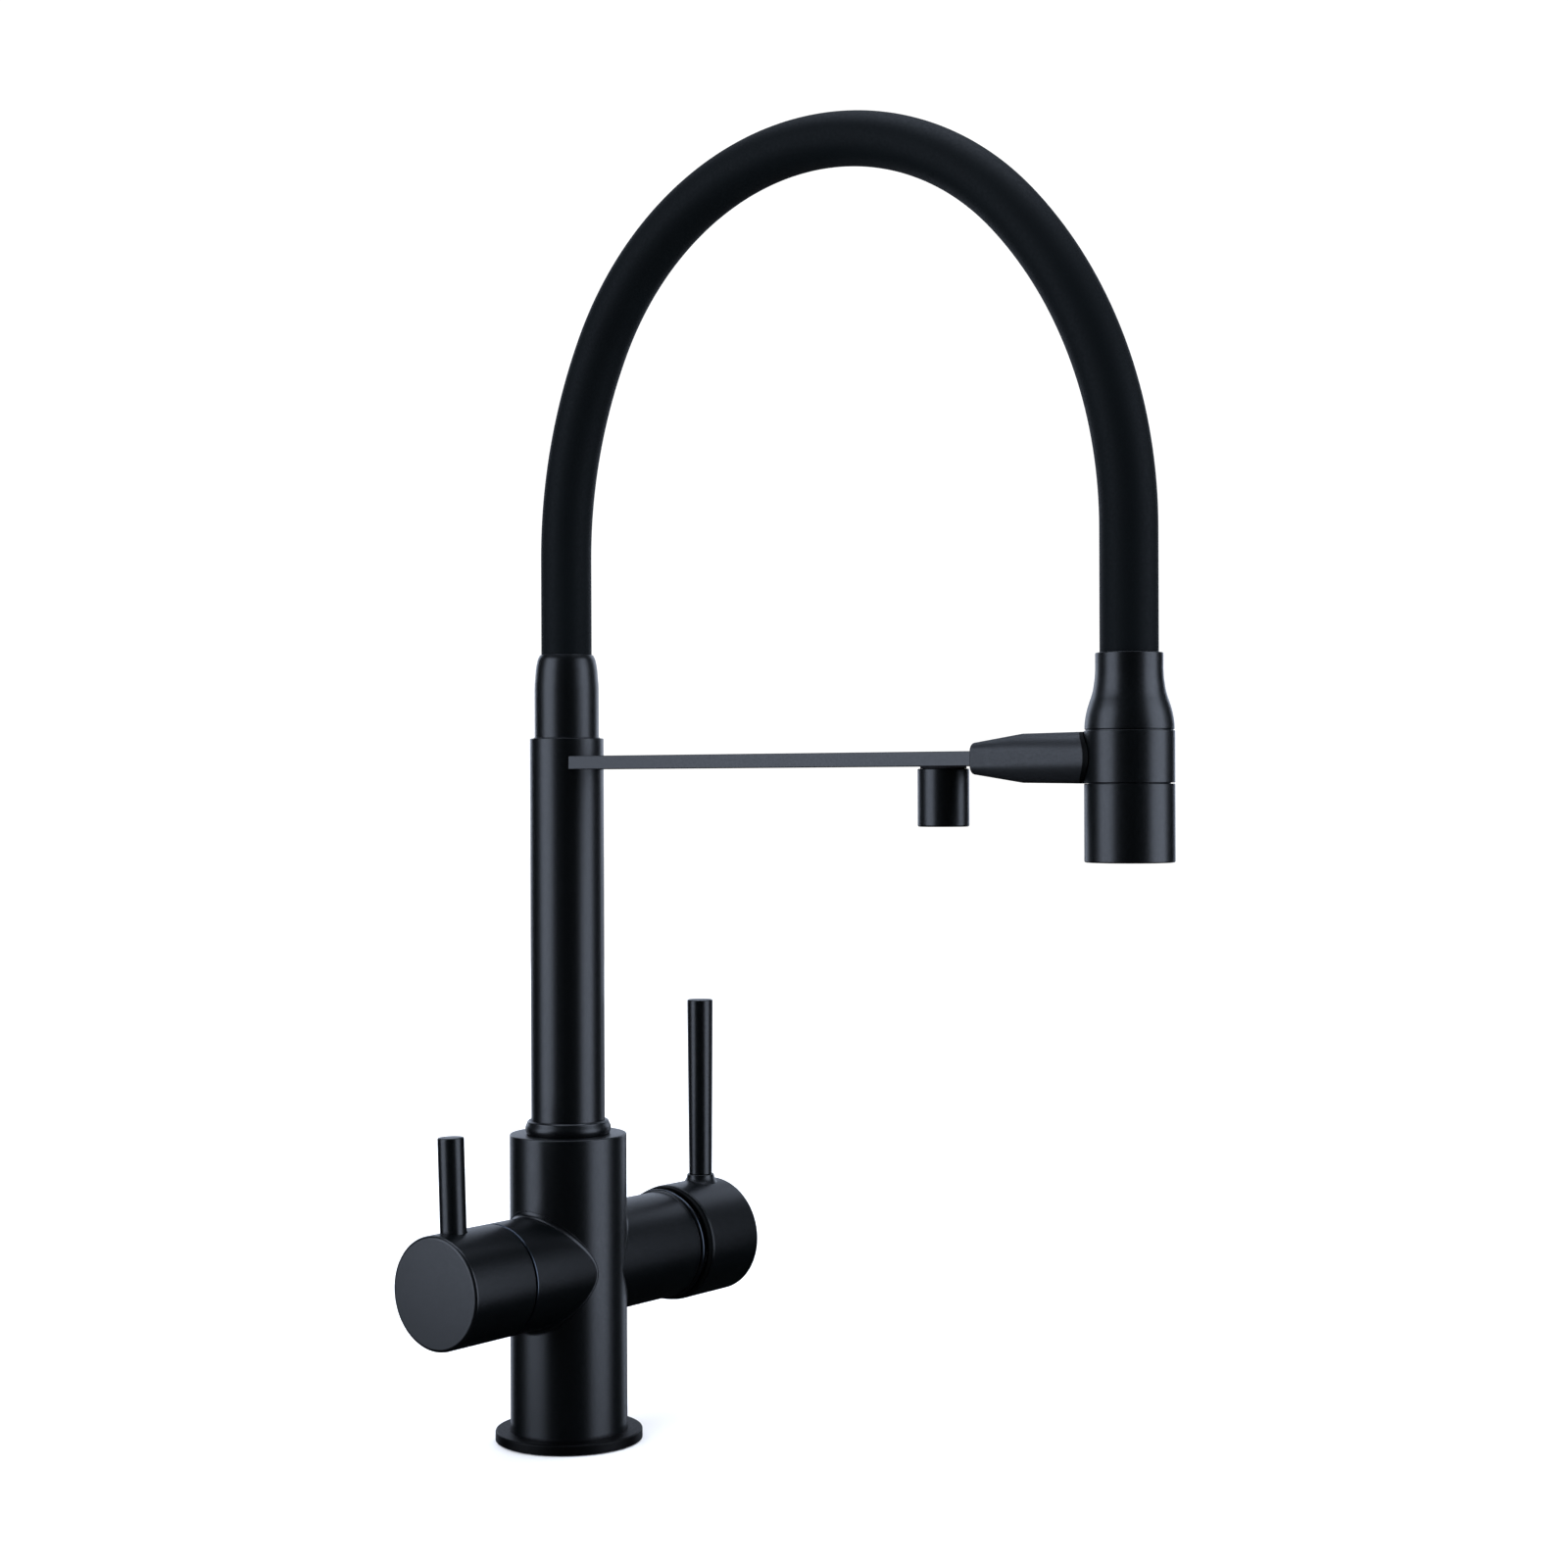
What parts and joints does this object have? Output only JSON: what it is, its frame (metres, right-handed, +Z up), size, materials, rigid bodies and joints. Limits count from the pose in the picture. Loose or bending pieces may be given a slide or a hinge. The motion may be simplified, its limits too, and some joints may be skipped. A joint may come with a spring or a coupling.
{
  "type": "kitchen mixer tap",
  "caption": "Tall matte black kitchen tap with a silicone hose arch, a spray head in a magnetic dock on an arm, a mixer lever, and a filtered-water outlet with its own handle.",
  "frame": {"origin": "centre of the base flange's underside, in the plane of the worktop", "axes": "+Z up along the column, -Y towards the spout's head, +X towards the mixer lever"},
  "size_m": [0.1612, 0.2877, 0.4861],
  "materials": {
    "matte_black_metal": "satin black powder coat",
    "black_flange": "satin black powder coat",
    "satin_black_plastic": "fine satin moulding",
    "silicone_hose": "matte silicone",
    "black_rubber": "matte rubber",
    "seal_rubber": "moulded seal rubber",
    "brass": "machined brass",
    "steel": "turned stainless steel",
    "pale_plastic": "moulded acetal",
    "grey_plastic": "moulded acetal",
    "ceramic_disc": null,
    "magnet": "nickel-plated magnet"
  },
  "bodies": {
    "tap": {"base_flange": "black_flange", "base_gasket": "seal_rubber", "tap_body": "matte_black_metal", "mixer_stub": "matte_black_metal", "filter_stub": "matte_black_metal", "inlet_plate": "brass", "swivel_bush": "pale_plastic", "swivel_lock_screw": "steel", "mixer_cartridge": "pale_plastic", "cartridge_seals": "seal_rubber", "cartridge_fixed_disc": "ceramic_disc", "cartridge_retainer": "brass", "cartridge_dome": "black_rubber", "filter_headwork": "brass", "headwork_seal": "seal_rubber", "headwork_fixed_disc": "ceramic_disc"},
    "spout": {"swivel_spigot": "brass", "spigot_seals": "seal_rubber", "bead_ring": "matte_black_metal", "column": "matte_black_metal", "mixed_water_tube": "pale_plastic", "filtered_water_tube": "pale_plastic", "arm_plug": "brass", "arm_screws": "steel", "arm_bar": "matte_black_metal", "filter_outlet": "matte_black_metal", "outlet_seal": "seal_rubber", "outlet_aerator": "satin_black_plastic", "dock_sleeve": "satin_black_plastic", "dock_magnet": "magnet", "dock_pad": "black_rubber", "dock_screw": "steel", "hose_ferrule": "matte_black_metal", "hose_tail": "brass", "hose_cover": "silicone_hose", "hose_liner": "pale_plastic"},
    "hose_end": {"head_neck": "matte_black_metal", "head_stem": "brass", "stem_seal": "seal_rubber"},
    "head": {"head_band": "matte_black_metal", "head_steel_ring": "steel", "head_nozzle": "matte_black_metal", "head_core": "satin_black_plastic", "head_swivel_nut": "brass", "check_valve": "pale_plastic", "spray_plate": "satin_black_plastic"},
    "mixer_turn": {"cartridge_rotor": "grey_plastic", "cartridge_moving_disc": "ceramic_disc", "lift_pin": "steel"},
    "mixer_handle": {"lever_stem": "steel", "mixer_cap": "matte_black_metal", "mixer_rod": "matte_black_metal", "mixer_grub_screw": "steel"},
    "filter_handle": {"headwork_moving_disc": "ceramic_disc", "filter_spindle": "brass", "filter_cap": "matte_black_metal", "filter_rod": "matte_black_metal", "filter_grub_screw": "steel"}
  },
  "joints": [
    {"name": "spout_swivel", "type": "hinge", "parent": "tap", "child": "spout", "pos_m": [0, 0, 0.1162], "axis": [0, 0, 1], "continuous": true},
    {"name": "head_undock", "type": "slide", "parent": "spout", "child": "hose_end", "axis": [0, -1, 0], "range_m": [0, 0.04], "stiffness_N_per_m": 30, "springref_m": -0.03, "deforming": ["hose_cover", "hose_liner"]},
    {"name": "head_turn", "type": "hinge", "parent": "hose_end", "child": "head", "pos_m": [0, -0.245, 0.2577], "axis": [0, 0, 1], "continuous": true},
    {"name": "mixer_temperature", "type": "hinge", "parent": "tap", "child": "mixer_turn", "pos_m": [0.045, 0, 0.0659], "axis": [1, 0, 0], "range_deg": [-45, 45]},
    {"name": "mixer_lift", "type": "hinge", "parent": "mixer_turn", "child": "mixer_handle", "pos_m": [0.045, 0, 0.0659], "axis": [0, 1, 0], "range_deg": [0, 22]},
    {"name": "filter_quarter_turn", "type": "hinge", "parent": "tap", "child": "filter_handle", "pos_m": [-0.0562, 0, 0.0659], "axis": [1, 0, 0], "range_deg": [0, 90]}
  ]
}
